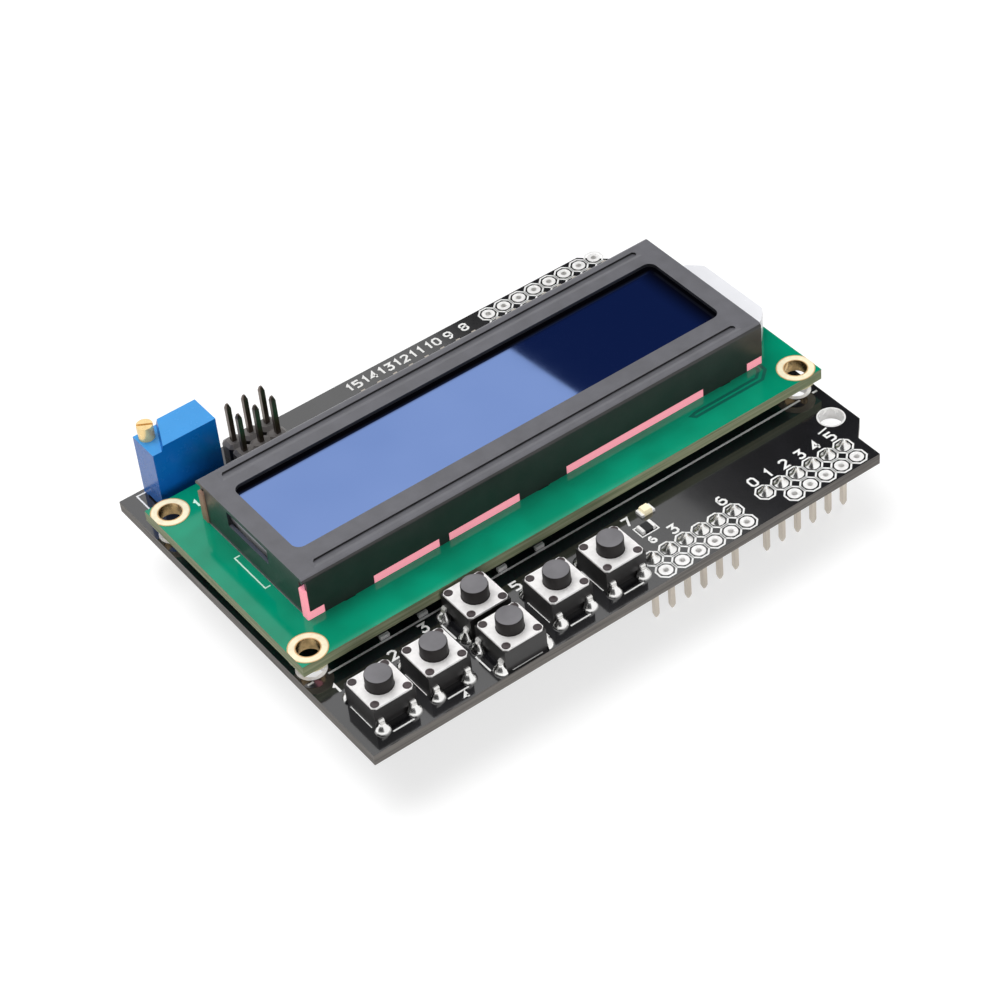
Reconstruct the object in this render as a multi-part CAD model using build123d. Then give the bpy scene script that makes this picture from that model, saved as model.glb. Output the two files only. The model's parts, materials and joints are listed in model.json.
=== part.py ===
from build123d import *
import math
import os

# A keypad and display board that plugs onto a controller board with its downward pins.
# Millimetres. X runs along the board, Y towards its display side, Z up.
# The origin is the middle of the board outline, at the level of the pin tips.

# Small round shapes that repeat are polygons with this many sides, or half of it where hidden
round_sides = 20

# Pin headers
pitch = 2.54
pin_side = 0.64
pin_tip_side = 0.3
pin_taper_length = 0.6
pin_tail_length = 5.8
pin_top_protrusion = 0.8
strip_height = 2.5
strip_width = 2.48
strip_corner = 0.45
power_pin_count = 6
analog_pin_count = 6
digital_low_pin_count = 8
digital_high_pin_count = 8
analog_group_shift = 5.08
digital_group_shift = 4.064
header_right_inset = 5.0
header_row_inset = 4.07

# Shield board
shield_thickness = 1.6
notch_size = 2.54
notch_row_distance = 2.54
rear_chamfer = 6.7
mounting_hole_radius = 1.65
mounting_hole_inset = 2.54
mounting_hole_row_distance = 5.08
spare_pad_hole_radius = 0.5
spare_pad_sides = 6

# Display board
boards_gap = 1.9
lcd_board_length = 79.6
lcd_board_width = 35.3
lcd_board_thickness = 1.6
lcd_hole_radius = 1.5
lcd_hole_inset = 2.3
lcd_pin_count = 16
lcd_first_pin_inset = 8.0
lcd_pin_edge_distance = 2.2

# Spare board in front of and behind the display board
keypad_zone_depth = 13.9
rear_zone_depth = 7.2

# Bezel, folded from one sheet
bezel_length = 70.0
bezel_width = 23.5
bezel_height = 6.6
bezel_sheet = 0.5
bezel_bend_radius = 0.6
bezel_end_inset = 0.25
bezel_corner_gap = 0.5
bezel_end_wall_gap = 0.75
window_length = 64.9
window_width = 14.3
window_shift = 0.2
window_corner_radius = 1.2
groove_width = 0.9
groove_depth = 0.3
groove_length = 64.2
groove_edge_distance = 1.75
foot_notch_height = 1.25
outer_foot_inner_x = 25.4
outer_foot_width = 7.1
middle_foot_width = 7.2
narrow_foot_x = -15.0
narrow_foot_width = 1.4
tab_width = 1.4
tab_fold_length = 2.0
tab_clearance = 0.1
end_slot_length = 8.9
end_slot_height = 2.3
end_slot_below_top = 1.1
end_slot_shift = 0.85

# Inside the bezel
glass_thickness = 1.1
glass_end_clearance = 0.4
glass_side_clearance = 0.2
seat_clearance = 0.05
contact_strip_width = 1.9
contact_strip_end_clearance = 0.1
panel_end_clearance = 0.5
panel_side_clearance = 0.2
panel_tab_width = 15.4
panel_tab_shift = -0.9
panel_tab_chamfer = 1.8
panel_tab_edge_inset = 0.4
panel_tab_clearance = 0.15
blob_radius = 6.0
blob_height = 1.2
blob_slope = 1.2
blob_spacing = 27.0

# Tact switches
key_side = 6.0
key_body_height = 3.5
key_floor_height = 1.7
key_cavity_radius = 2.45
key_cover_thickness = 0.25
key_cover_inset = 0.05
key_cover_corner = 0.45
key_peg_radius = 0.5
key_peg_sides = 6
key_peg_offset = 2.3
key_peg_rise = 0.12
key_peg_clearance = 0.04
key_foot_recess_width = 3.2
key_foot_recess_height = 1.1
key_foot_recess_depth = 0.3
plunger_radius = 1.7
plunger_rise = 1.9
plunger_edge = 0.2
plunger_clearance = 0.09
plunger_flange_radius = 2.1
plunger_play = 0.05
dome_radius = 2.0
dome_slope = 0.95
dome_rim = 0.3
dome_height = 0.4
dome_sheet = 0.1
dome_play = 0.02
leg_width = 0.7
leg_sheet = 0.3
leg_spacing = 4.5
leg_row_spacing = 6.5
leg_bend_size = 0.2
leg_tail = 1.0
contact_bar_width = 0.8
contact_bar_offset = 1.5

# Switch places: the gaps from the left edge to the power header, in proportion
key_gaps = (2.4, 1.8, 3.2, 2.8, 2.1, 0.55)
key_row_inset = 5.9
key_pair_spacing = 6.9
key_pair_offset = 1.0

# Trimmer
trimmer_length = 9.3
trimmer_width = 4.83
trimmer_height = 10.05
trimmer_foot_height = 0.35
trimmer_foot_size = 1.0
trimmer_left_inset = 3.45
trimmer_rear_inset = 0.5
trimmer_shelf_drop = 0.75
trimmer_shelf_length = 3.4
trimmer_shelf_front_length = 1.3
trimmer_lead_side = 0.5
trimmer_lead_tail = 1.6
screw_head_radius = 1.07
screw_head_height = 2.0
screw_slot_width = 0.4
screw_slot_depth = 0.7
screw_edge = 0.12
screw_shaft_radius = 0.8
screw_shaft_length = 5.0
screw_clearance = 0.07
screw_seat_gap = 0.05
screw_left_inset = 1.35
screw_rear_inset = 1.2

# Two by three pin block
block_left_inset = 16.1
block_rear_inset = 2.37
block_pin_rise = 6.0
block_pin_tail = 1.4
block_top_chamfer = 0.45

# Solder
solder_spread = 0.43
solder_height = 0.75

# Chip parts
chip_length = 2.0
chip_width = 1.25
chip_height = 0.5
led_height = 0.8
led_lens_length = 1.3
led_base_height = 0.35
led_right_inset = 31.0
led_front_inset = 11.1
resistor_right_inset = 31.8
resistor_front_inset = 8.7
key_resistor_lcd_overlap = 0.6
key_resistor_insets = (11.8, 17.4, 23.2, 29.2, 34.9)

# Levels
shield_bottom_z = pin_tail_length + strip_height
shield_top_z = shield_bottom_z + shield_thickness
lcd_bottom_z = shield_top_z + boards_gap
lcd_top_z = lcd_bottom_z + lcd_board_thickness
bezel_top_z = lcd_top_z + bezel_height
front_glass_top_z = bezel_top_z - bezel_sheet - groove_depth - seat_clearance
rear_glass_top_z = front_glass_top_z - glass_thickness
panel_top_z = rear_glass_top_z - glass_thickness

# Room inside the bezel
inner_length = bezel_length - 2 * (bezel_end_inset + bezel_sheet)
inner_width = bezel_width - 2 * bezel_sheet
glass_length = inner_length - 2 * glass_end_clearance
glass_width = inner_width - 2 * glass_side_clearance
between_strips = inner_width - 2 * (contact_strip_width + seat_clearance)

# Board edges
shield_length = lcd_board_length
shield_width = keypad_zone_depth + lcd_board_width + rear_zone_depth
left_x = -shield_length / 2
right_x = shield_length / 2
front_y = -shield_width / 2
rear_y = shield_width / 2
lcd_front_y = front_y + keypad_zone_depth
lcd_rear_y = lcd_front_y + lcd_board_width
lcd_y = (lcd_front_y + lcd_rear_y) / 2

# Pin rows, as plan points
front_row_y = front_y + header_row_inset
rear_row_y = rear_y - header_row_inset
header_right_x = right_x - header_right_inset


def row_points(last_x, y, count):
    return [(last_x - pitch * step, y) for step in reversed(range(count))]


analog_points = row_points(header_right_x, front_row_y, analog_pin_count)
power_last_x = analog_points[0][0] - analog_group_shift
power_points = row_points(power_last_x, front_row_y, power_pin_count)
digital_low_points = row_points(header_right_x, rear_row_y, digital_low_pin_count)
digital_high_last_x = digital_low_points[0][0] - digital_group_shift
digital_high_points = row_points(digital_high_last_x, rear_row_y, digital_high_pin_count)
lcd_pin_first_x = left_x + lcd_first_pin_inset
lcd_pin_y = lcd_rear_y - lcd_pin_edge_distance
lcd_pin_points = [(lcd_pin_first_x + pitch * step, lcd_pin_y) for step in range(lcd_pin_count)]
block_points = [
    (left_x + block_left_inset + pitch * column, rear_y - block_rear_inset - pitch * row)
    for row in range(2)
    for column in range(3)
]

# Spare pads stand one pitch outside the soldered rows
spare_pad_points = [(x, y - pitch) for x, y in power_points + analog_points[1:]]
spare_pad_points += [(x, y + pitch) for x, y in digital_low_points]

# Mounting holes of the display board, with matching holes in the shield
lcd_hole_x = lcd_board_length / 2 - lcd_hole_inset
lcd_hole_y = lcd_board_width / 2 - lcd_hole_inset
lcd_hole_points = [
    (side * lcd_hole_x, lcd_y + end * lcd_hole_y)
    for side in (-1, 1)
    for end in (-1, 1)
]
mounting_hole_point = (right_x - mounting_hole_inset, front_row_y + mounting_hole_row_distance)

# Switches: name, place and turn, in five columns that share the length in front of the display
key_row_y = front_y + key_row_inset
key_zone_length = power_points[0][0] - pitch / 2 - left_x
key_gap_scale = (key_zone_length - (len(key_gaps) - 1) * key_side) / sum(key_gaps)
key_columns = [
    left_x + key_gap_scale * sum(key_gaps[:step + 1]) + key_side * (step + 0.5)
    for step in range(len(key_gaps) - 1)
]
select_x, left_key_x, pair_x, right_key_x, reset_x = key_columns
pair_y = key_row_y + key_pair_offset
keys = {
    "select_key": (select_x, key_row_y, 0),
    "left_key": (left_key_x, key_row_y, 0),
    "up_key": (pair_x, pair_y + key_pair_spacing / 2, 90),
    "down_key": (pair_x, pair_y - key_pair_spacing / 2, 90),
    "right_key": (right_key_x, key_row_y, 0),
    "reset_key": (reset_x, key_row_y, 0),
}


def block(x_span, y_span, z_span):
    # A box between two limits on each axis
    spans = (x_span, y_span, z_span)
    centre = [(start + end) / 2 for start, end in spans]
    return Pos(*centre) * Box(*[end - start for start, end in spans])


def spread(shape, points, z=0):
    # Copies of one solid at plan points
    return [Pos(x, y, z) * shape for x, y in points]


def tapered(sketch, height, inset):
    # An extrusion whose sides lean in by the inset over its height
    return extrude(sketch, height, taper=math.degrees(math.atan2(inset, height)))


def group(solids):
    # Separate solids kept together in one node
    return Compound(children=list(solids))


def square_pin(bottom_z, top_z):
    # A plain square pin, for ends that are hidden in solder
    return Pos(0, 0, (bottom_z + top_z) / 2) * Box(pin_side, pin_side, top_z - bottom_z)


def pointed_pin(plain_z, point_z):
    # A square pin that tapers on all four sides towards one end
    half = pin_side / 2
    tip = pin_tip_side / 2
    shoulder_z = point_z - pin_taper_length if point_z > plain_z else point_z + pin_taper_length
    profile = Polyline(
        (-half, plain_z), (half, plain_z), (half, shoulder_z), (tip, point_z),
        (-tip, point_z), (-half, shoulder_z), close=True)
    slab = extrude(Plane.XZ * make_face(profile), half, both=True)
    return slab & (Rot(0, 0, 90) * slab)


def strip_outline(points, width):
    # Plan of a row of plastic cells, with a notch between neighbours
    first_x = points[0][0] - pitch / 2
    last_x = points[-1][0] + pitch / 2
    y = points[0][1]
    body = Pos((first_x + last_x) / 2, y) * Rectangle(last_x - first_x, width)
    notch = Rot(0, 0, 45) * Rectangle(strip_corner * 2 ** 0.5, strip_corner * 2 ** 0.5)
    borders = [first_x + pitch * step for step in range(len(points) + 1)]
    corners = [(x, y + side * width / 2) for x in borders for side in (-1, 1)]
    return body - [Pos(x, corner_y) * notch for x, corner_y in corners]


def pin_sockets(points):
    return [Pos(x, y) * Rectangle(pin_side, pin_side) for x, y in points]


def header_strip(points):
    # A strip under the lower board
    outline = strip_outline(points, strip_width) - pin_sockets(points)
    return Pos(0, 0, pin_tail_length) * extrude(outline, strip_height)


def spacer_strip(points):
    # The plain strip between the two boards
    centre_x = (points[0][0] + points[-1][0]) / 2
    outline = Pos(centre_x, points[0][1]) * Rectangle(len(points) * pitch, strip_width)
    return Pos(0, 0, shield_top_z) * extrude(outline - pin_sockets(points), boards_gap)


def solder_cone():
    # A small four sided cone of solder that ends on its pin
    base_width = pin_side + 2 * solder_spread
    socket = Pos(0, 0, solder_height / 2) * Box(pin_side, pin_side, solder_height)
    return tapered(Rectangle(base_width, base_width), solder_height, solder_spread) - socket


def leg_offsets():
    # Where a switch's four legs go through the board, for a switch that isn't turned
    return [
        (side * leg_spacing / 2, end * leg_row_spacing / 2)
        for side in (-1, 1)
        for end in (-1, 1)
    ]


def shield_outline():
    corner_x = right_x - notch_size
    notch_top_y = front_row_y + notch_row_distance
    return make_face(Polyline(
        (left_x, front_y), (corner_x, front_y), (corner_x, notch_top_y - notch_size),
        (right_x, notch_top_y), (right_x, rear_y - rear_chamfer), (right_x - rear_chamfer, rear_y),
        (left_x, rear_y), close=True))


def trimmer_place():
    x = left_x + trimmer_left_inset + trimmer_length / 2
    y = rear_y - trimmer_rear_inset - trimmer_width / 2
    return x, y


def trimmer_lead_points():
    x, y = trimmer_place()
    return [(x + pitch * step, y) for step in (-1, 0, 1)]


def shield_board():
    soldered = power_points + analog_points + digital_low_points + digital_high_points
    soldered = soldered + lcd_pin_points + block_points
    holes = pin_sockets(soldered)
    spare_hole = RegularPolygon(spare_pad_hole_radius, spare_pad_sides)
    holes += [Pos(x, y) * spare_hole for x, y in spare_pad_points]
    hidden_hole = RegularPolygon(lcd_hole_radius, round_sides, major_radius=False)
    holes += [Pos(x, y) * hidden_hole for x, y in lcd_hole_points]
    holes += [Pos(*mounting_hole_point) * Circle(mounting_hole_radius)]
    holes += [Pos(x, y) * Rectangle(trimmer_lead_side, trimmer_lead_side) for x, y in trimmer_lead_points()]
    for x, y, turn in keys.values():
        place = Pos(x, y) * Rot(0, 0, turn)
        holes += [place * Pos(dx, dy) * Rectangle(leg_width, leg_sheet) for dx, dy in leg_offsets()]
    return Pos(0, 0, shield_bottom_z) * extrude(shield_outline() - holes, shield_thickness)


def lcd_outline():
    return Pos(0, lcd_y) * Rectangle(lcd_board_length, lcd_board_width)


def foot_spans():
    # Where the bezel's long walls reach down to the display board, as centre and width
    outer_x = outer_foot_inner_x + outer_foot_width / 2
    return [
        (-outer_x, outer_foot_width),
        (narrow_foot_x, narrow_foot_width),
        (0, middle_foot_width),
        (outer_x, outer_foot_width),
    ]


def tab_x_places():
    return [x for x, width in foot_spans() if width > narrow_foot_width]


def lcd_board():
    wall_y = bezel_width / 2 - bezel_sheet / 2
    slot = Rectangle(tab_width + 2 * tab_clearance, bezel_sheet + 2 * tab_clearance)
    holes = [Pos(x, y) * Circle(lcd_hole_radius) for x, y in lcd_hole_points]
    holes += pin_sockets(lcd_pin_points)
    holes += [Pos(x, lcd_y + side * wall_y) * slot for x in tab_x_places() for side in (-1, 1)]
    return Pos(0, 0, lcd_bottom_z) * extrude(lcd_outline() - holes, lcd_board_thickness)


def bezel_channel():
    # The top and the two long walls, as one folded strip
    half = bezel_width / 2
    outer = Pos(0, bezel_height / 2) * Rectangle(bezel_width, bezel_height)
    outer = fillet(outer.vertices().group_by(Axis.Y)[-1], bezel_bend_radius)
    inner_height = bezel_height - bezel_sheet
    inner = Pos(0, inner_height / 2) * Rectangle(2 * (half - bezel_sheet), inner_height)
    inner = fillet(inner.vertices().group_by(Axis.Y)[-1], bezel_bend_radius - bezel_sheet)
    return extrude(Plane.YZ * (outer - inner), bezel_length / 2, both=True)


def notch_spans():
    # The low notches between the feet, as start and end
    edges = [-bezel_length / 2]
    for x, width in foot_spans():
        edges += [x - width / 2, x + width / 2]
    edges += [bezel_length / 2]
    return list(zip(edges[::2], edges[1::2]))


def wall_notches():
    # What is cut from the long walls: the notches, and the open corners at the left end
    across = (-bezel_width, bezel_width)
    notches = [block(span, across, (-foot_notch_height, foot_notch_height)) for span in notch_spans()]
    open_height = bezel_height - bezel_bend_radius
    corner_span = (-bezel_length, bezel_corner_gap - bezel_length / 2)
    return notches + [block(corner_span, across, (-open_height, open_height))]


def bezel_end_wall(side):
    # A short wall that hangs just inside the top's edge
    x = side * (bezel_length / 2 - bezel_end_inset - bezel_sheet / 2)
    width = inner_width - 2 * bezel_end_wall_gap
    height = bezel_height - bezel_sheet
    wall = Pos(x, 0, height / 2) * Box(bezel_sheet, width, height)
    if side < 0:
        slot_z = bezel_height - end_slot_below_top - end_slot_height / 2
        slot = Box(bezel_sheet * 2, end_slot_length, end_slot_height)
        return wall - Pos(x, end_slot_shift, slot_z) * slot
    passage_width = panel_tab_width + 2 * panel_tab_clearance
    passage_height = panel_top_z - lcd_top_z + panel_tab_clearance
    passage = Box(bezel_sheet * 2, passage_width, passage_height)
    return wall - Pos(x, panel_tab_shift, passage_height / 2) * passage


def bezel_tabs():
    # Tongues that pass through the display board and fold under it
    tabs = []
    wall_y = bezel_width / 2 - bezel_sheet / 2
    drop = lcd_board_thickness + bezel_sheet
    for x in tab_x_places():
        for side in (-1, 1):
            stem = Pos(x, side * wall_y, -drop / 2) * Box(tab_width, bezel_sheet, drop)
            fold_y = side * (wall_y + bezel_sheet / 2 - tab_fold_length / 2)
            fold_z = -lcd_board_thickness - bezel_sheet / 2
            tabs.append(stem + Pos(x, fold_y, fold_z) * Box(tab_width, tab_fold_length, bezel_sheet))
    return tabs


def lcd_bezel():
    channel = bezel_channel() - wall_notches()
    window = RectangleRounded(window_length, window_width, window_corner_radius)
    groove_y = bezel_width / 2 - groove_edge_distance
    groove = Rectangle(groove_length, groove_width)
    groove = chamfer(groove.vertices(), groove_width / 3)
    body = channel - extrude(Pos(0, window_shift, bezel_height) * window, bezel_sheet * 2, both=True)
    trough_z = bezel_height - groove_depth
    for side in (-1, 1):
        rib = extrude(Pos(0, side * groove_y, trough_z - bezel_sheet) * groove, bezel_sheet)
        trough = extrude(Pos(0, side * groove_y, trough_z) * groove, bezel_sheet)
        body = body + rib - trough + bezel_end_wall(side)
    for tab in bezel_tabs():
        body += tab
    return Pos(0, lcd_y, lcd_top_z) * body


def lcd_front_glass():
    z = front_glass_top_z - glass_thickness / 2
    return Pos(0, lcd_y, z) * Box(glass_length, glass_width, glass_thickness)


def lcd_rear_glass():
    z = rear_glass_top_z - glass_thickness / 2
    return Pos(0, lcd_y, z) * Box(glass_length, between_strips - 2 * panel_side_clearance, glass_thickness)


def contact_strip(side):
    # Soft rubber that swells into the wall's notches and its open corner
    half = inner_length / 2 - contact_strip_end_clearance
    wall_y = inner_width / 2 - seat_clearance
    swell = (wall_y, wall_y + bezel_sheet)
    low_z = (0, foot_notch_height - seat_clearance)
    full_z = (0, rear_glass_top_z - lcd_top_z)
    strip = block((-half, half), (wall_y - contact_strip_width, wall_y), full_z)
    for start, end in notch_spans():
        strip += block((start + seat_clearance, end - seat_clearance), swell, low_z)
    corner_x = seat_clearance - bezel_length / 2
    passing_y = inner_width / 2 - bezel_end_wall_gap + seat_clearance
    strip += block((corner_x, 0), (passing_y, wall_y), full_z)
    strip += block((corner_x, corner_x + bezel_corner_gap - 2 * seat_clearance), swell, full_z)
    if side < 0:
        strip = mirror(strip, Plane.XZ)
    return Pos(0, lcd_y, lcd_top_z) * strip


def backlight_panel():
    height = panel_top_z - lcd_top_z
    panel = Rectangle(inner_length - 2 * panel_end_clearance, between_strips - 2 * panel_side_clearance)
    tab_end_x = lcd_board_length / 2 - panel_tab_edge_inset
    half = panel_tab_width / 2
    tab = Pos(0, panel_tab_shift) * make_face(Polyline(
        (0, -half), (tab_end_x - panel_tab_chamfer, -half), (tab_end_x, -half + panel_tab_chamfer),
        (tab_end_x, half - panel_tab_chamfer), (tab_end_x - panel_tab_chamfer, half), (0, half), close=True))
    tab = fillet([corner for corner in tab.vertices() if corner.X > 0], panel_tab_chamfer / 2)
    return Pos(0, lcd_y, lcd_top_z) * extrude(panel + tab, height)


def controller_blobs():
    # Two flat drops of resin over the display's controller chips, under its board
    drop = Rot(180, 0, 0) * tapered(RegularPolygon(blob_radius, round_sides), blob_height, blob_slope)
    return group([Pos(side * blob_spacing / 2, lcd_y, lcd_bottom_z) * drop for side in (-1, 1)])


def switch_place(key):
    x, y, turn = key
    return Pos(x, y, shield_top_z) * Rot(0, 0, turn)


def switch_terminals():
    # Two folded contacts, each one bar with a pair of legs
    pair = []
    bar_top = key_floor_height
    outer_y = leg_row_spacing / 2 + leg_sheet / 2
    inner_y = contact_bar_offset - contact_bar_width / 2
    leg_bottom = -shield_thickness - leg_tail
    for side in (-1, 1):
        profile = Polyline(
            (side * inner_y, bar_top), (side * outer_y, bar_top), (side * outer_y, leg_bottom),
            (side * (outer_y - leg_sheet), leg_bottom), (side * (outer_y - leg_sheet), bar_top - leg_sheet),
            (side * inner_y, bar_top - leg_sheet), close=True)
        face = make_face(profile)
        bend = face.vertices().sort_by_distance((side * outer_y, bar_top, 0))[0]
        face = chamfer(bend, leg_bend_size)
        leg = extrude(Plane.YZ * face, leg_width / 2, both=True)
        bar = Box(leg_spacing + leg_width, contact_bar_width, leg_sheet)
        piece = Pos(0, side * contact_bar_offset, bar_top - leg_sheet / 2) * bar
        for end in (-1, 1):
            piece += Pos(end * leg_spacing / 2, 0, 0) * leg
        pair.append(piece)
    return pair


def peg_places():
    # The corners where moulded pegs hold a switch's cover
    return [(side * key_peg_offset, end * key_peg_offset) for side in (-1, 1) for end in (-1, 1)]


def switch_housing(terminals):
    height = key_body_height - key_cover_thickness
    body = extrude(Rectangle(key_side, key_side), height)
    depth = height - key_floor_height
    cavity = RegularPolygon(key_cavity_radius, round_sides // 2)
    body -= extrude(Pos(0, 0, key_floor_height) * cavity, depth)
    recess = Box(key_foot_recess_width, key_foot_recess_depth * 2, key_foot_recess_height * 2)
    body -= [Pos(0, side * key_side / 2, 0) * recess for side in (-1, 1)]
    peg = extrude(RegularPolygon(key_peg_radius, key_peg_sides), key_cover_thickness + key_peg_rise)
    for x, y in peg_places():
        body += Pos(x, y, height) * peg
    return body - terminals


def switch_cover():
    side = key_side - 2 * key_cover_inset
    plate = Rectangle(side, side)
    plate = chamfer(plate.vertices(), key_cover_corner)
    plate -= RegularPolygon(plunger_radius + plunger_clearance, round_sides)
    peg_hole = RegularPolygon(key_peg_radius + key_peg_clearance, key_peg_sides)
    plate -= [Pos(x, y) * peg_hole for x, y in peg_places()]
    return Pos(0, 0, key_body_height - key_cover_thickness) * extrude(plate, key_cover_thickness)


def switch_plunger():
    # A retaining flange under the cover and a stem with a softened top edge
    flange_top = key_body_height - key_cover_thickness - plunger_play
    flange_bottom = key_floor_height + dome_height + dome_play
    top = key_body_height + plunger_rise
    flange = extrude(Pos(0, 0, flange_bottom) * RegularPolygon(plunger_flange_radius, round_sides),
                     flange_top - flange_bottom)
    stem = extrude(Pos(0, 0, flange_top) * RegularPolygon(plunger_radius, round_sides), top - flange_top)
    return flange + chamfer(stem.faces().sort_by(Axis.Z)[-1].edges(), plunger_edge)


def switch_dome():
    # A thin sprung cap that stands on the two contacts
    sides = round_sides // 2
    inner_height = dome_height - dome_sheet
    inner_slope = dome_slope * inner_height / dome_height
    outer = tapered(RegularPolygon(dome_radius, sides), dome_height, dome_slope)
    inner = tapered(RegularPolygon(dome_radius - dome_rim, sides), inner_height, inner_slope)
    return Pos(0, 0, key_floor_height) * (outer - inner)


def shelf_outline():
    # The corner of the trimmer's top that steps down round the screw
    left = -trimmer_length / 2
    rear = trimmer_width / 2
    return make_face(Polyline(
        (left, rear), (left, -rear), (left + trimmer_shelf_front_length, -rear),
        (left + trimmer_shelf_length, rear), close=True))


def screw_offset():
    x = -trimmer_length / 2 + screw_left_inset
    y = trimmer_width / 2 - screw_rear_inset
    return x, y


def trimmer_housing():
    height = trimmer_height - trimmer_foot_height
    body = Pos(0, 0, trimmer_foot_height) * extrude(Rectangle(trimmer_length, trimmer_width), height)
    foot_x = (trimmer_length - trimmer_foot_size) / 2
    foot_y = (trimmer_width - trimmer_foot_size) / 2
    foot = Pos(0, 0, trimmer_foot_height / 2) * Box(trimmer_foot_size, trimmer_foot_size, trimmer_foot_height)
    for side in (-1, 1):
        for end in (-1, 1):
            body += Pos(side * foot_x, end * foot_y, 0) * foot
    shelf_z = trimmer_height - trimmer_shelf_drop
    lower = Pos(0, 0, shelf_z) * shelf_outline()
    body -= extrude(lower, trimmer_shelf_drop * 2, taper=-20)
    x, y = screw_offset()
    bore = RegularPolygon(screw_shaft_radius + screw_clearance, round_sides)
    body -= extrude(Pos(x, y, shelf_z) * bore, -(screw_shaft_length + screw_clearance))
    place_x, place_y = trimmer_place()
    return Pos(place_x, place_y, shield_top_z) * body


def trimmer_screw():
    # Slotted head above the shelf and a shaft down in the housing
    x, y = screw_offset()
    head_bottom = trimmer_height - trimmer_shelf_drop + screw_seat_gap
    head = extrude(Circle(screw_head_radius), screw_head_height)
    head = chamfer(head.faces().sort_by(Axis.Z)[-1].edges(), screw_edge)
    shaft = extrude(Circle(screw_shaft_radius), -screw_shaft_length)
    slot = Box(screw_head_radius * 3, screw_slot_width, screw_slot_depth * 2)
    body = head + shaft - Pos(0, 0, screw_head_height) * slot
    place_x, place_y = trimmer_place()
    return Pos(place_x + x, place_y + y, shield_top_z + head_bottom) * body


def trimmer_leads():
    length = shield_thickness + trimmer_lead_tail + trimmer_foot_height
    lead = Pos(0, 0, shield_top_z + trimmer_foot_height - length / 2) * Box(
        trimmer_lead_side, trimmer_lead_side, length)
    return group(spread(lead, trimmer_lead_points()))


def pin_block_strip():
    # Six plastic cells in two rows, with bevelled tops
    rows = (block_points[:3], block_points[3:])
    solid = None
    for row in rows:
        outline = strip_outline(row, pitch)
        cell = extrude(outline, strip_height)
        cell = chamfer(cell.faces().sort_by(Axis.Z)[-1].edges(), block_top_chamfer)
        solid = cell if solid is None else solid + cell
    sockets = [Pos(x, y, strip_height / 2) * Box(pin_side, pin_side, strip_height) for x, y in block_points]
    return Pos(0, 0, shield_top_z) * (solid - sockets)


def solder_joints():
    # The cones that show from above
    rows = power_points + analog_points + digital_low_points + digital_high_points
    cone = solder_cone()
    return group(spread(cone, rows, shield_top_z) + spread(cone, lcd_pin_points, lcd_top_z))


def chip_resistor():
    return Pos(0, 0, chip_height / 2) * Box(chip_length, chip_width, chip_height)


def chip_resistors():
    # The lamp's resistor, and the key resistors under the display board's front edge
    lamp_place = (right_x - resistor_right_inset - chip_length / 2, front_y + resistor_front_inset)
    key_y = lcd_front_y + key_resistor_lcd_overlap + chip_length / 2
    solids = [Pos(*lamp_place, shield_top_z) * chip_resistor()]
    solids += [
        Pos(left_x + inset, key_y, shield_top_z) * Rot(0, 0, 90) * chip_resistor()
        for inset in key_resistor_insets
    ]
    return group(solids)


def indicator_led():
    base = Pos(0, 0, led_base_height / 2) * Box(chip_length, chip_width, led_base_height)
    lens = extrude(Pos(0, 0, led_base_height) * Rectangle(led_lens_length, chip_width),
                   led_height - led_base_height, taper=12)
    x = right_x - led_right_inset
    y = front_y + led_front_inset
    return Pos(x, y, shield_top_z) * (base + lens)


def build_nodes():
    nodes = {}
    headers = {
        "power_header": power_points,
        "analog_header": analog_points,
        "digital_low_header": digital_low_points,
        "digital_high_header": digital_high_points,
    }
    long_pin = pointed_pin(shield_top_z + pin_top_protrusion, 0)
    for name, points in headers.items():
        nodes[name + "_strip"] = header_strip(points)
        nodes[name + "_pins"] = group(spread(long_pin, points))
    lcd_pin = square_pin(shield_bottom_z - block_pin_tail, lcd_top_z + pin_top_protrusion)
    nodes["lcd_header_strip"] = spacer_strip(lcd_pin_points)
    nodes["lcd_header_pins"] = group(spread(lcd_pin, lcd_pin_points))
    block_pin = pointed_pin(shield_bottom_z - block_pin_tail, shield_top_z + strip_height + block_pin_rise)
    nodes["pin_block_strip"] = pin_block_strip()
    nodes["pin_block_pins"] = group(spread(block_pin, block_points))

    nodes["shield_board"] = shield_board()
    nodes["lcd_board"] = lcd_board()
    nodes["lcd_bezel"] = lcd_bezel()
    nodes["lcd_front_glass"] = lcd_front_glass()
    nodes["lcd_rear_glass"] = lcd_rear_glass()
    nodes["front_contact_strip"] = contact_strip(-1)
    nodes["rear_contact_strip"] = contact_strip(1)
    nodes["backlight_panel"] = backlight_panel()
    nodes["controller_blobs"] = controller_blobs()

    terminals = switch_terminals()
    housing = switch_housing(terminals)
    cover = switch_cover()
    plunger = switch_plunger()
    dome = switch_dome()
    for name, key in keys.items():
        place = switch_place(key)
        nodes[name + "_housing"] = place * housing
        nodes[name + "_cover"] = place * cover
        nodes[name + "_plunger"] = place * plunger
        nodes[name + "_dome"] = place * dome
        nodes[name + "_terminals"] = group([place * piece for piece in terminals])

    nodes["trimmer_housing"] = trimmer_housing()
    nodes["trimmer_screw"] = trimmer_screw()
    nodes["trimmer_leads"] = trimmer_leads()
    nodes["chip_resistors"] = chip_resistors()
    nodes["indicator_led"] = indicator_led()
    nodes["solder_joints"] = solder_joints()
    return nodes


os.makedirs("parts", exist_ok=True)
for node_name, shape in build_nodes().items():
    export_step(shape, "parts/" + node_name + ".step")
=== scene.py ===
import json
import math
import bpy
from mathutils import Matrix, Vector


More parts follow.
